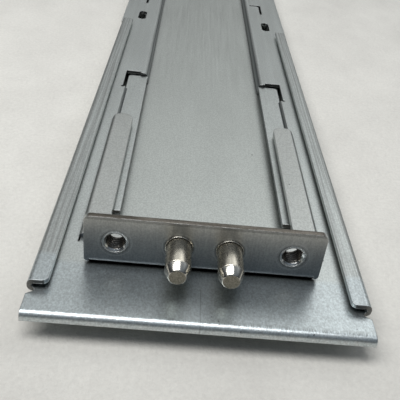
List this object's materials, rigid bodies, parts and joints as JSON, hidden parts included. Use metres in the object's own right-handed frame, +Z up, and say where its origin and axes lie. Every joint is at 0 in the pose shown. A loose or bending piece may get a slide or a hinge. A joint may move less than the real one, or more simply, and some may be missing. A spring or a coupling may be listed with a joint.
{
  "type": "sliding server rack rail",
  "caption": "Sheet metal telescoping server rail lying flat: folded deck, sliding channel, end brackets with tapered locating pins and threaded inserts.",
  "frame": {"origin": "under the middle of the closed rail, on the surface it lies on", "axes": "+X across the rail, +Y along it from the fixed rack face to the sliding one, +Z up out of the deck"},
  "size_m": [0.0852, 0.6398, 0.0225],
  "materials": {
    "zinc_sheet": "satin zinc plated",
    "bracket_steel": "satin zinc plated, lightly brushed",
    "pin_steel": "turned, nickel plated",
    "nut_steel": "bright zinc plated",
    "rivet_steel": "zinc plated",
    "screw_steel": "bright zinc plated"
  },
  "bodies": {
    "fixed_half": {"outer_rail": "zinc_sheet", "front_bracket": "bracket_steel", "front_pin_left": "pin_steel", "front_pin_right": "pin_steel", "front_nut_left": "nut_steel", "front_nut_right": "nut_steel", "front_rivets": "rivet_steel", "front_saddle": "zinc_sheet", "middle_saddle": "zinc_sheet", "rear_saddle": "zinc_sheet", "lock_screw": "screw_steel", "lock_washer": "screw_steel", "lock_bar": "zinc_sheet"},
    "sliding_half": {"slider_channel": "zinc_sheet", "rear_bracket": "bracket_steel", "rear_pin_left": "pin_steel", "rear_pin_right": "pin_steel", "rear_nut_left": "nut_steel", "rear_nut_right": "nut_steel", "rear_rivets": "rivet_steel"}
  },
  "joints": [
    {"name": "rail_slide", "type": "slide", "parent": "fixed_half", "child": "sliding_half", "axis": [0, 1, 0], "range_m": [0, 0.3048]}
  ]
}
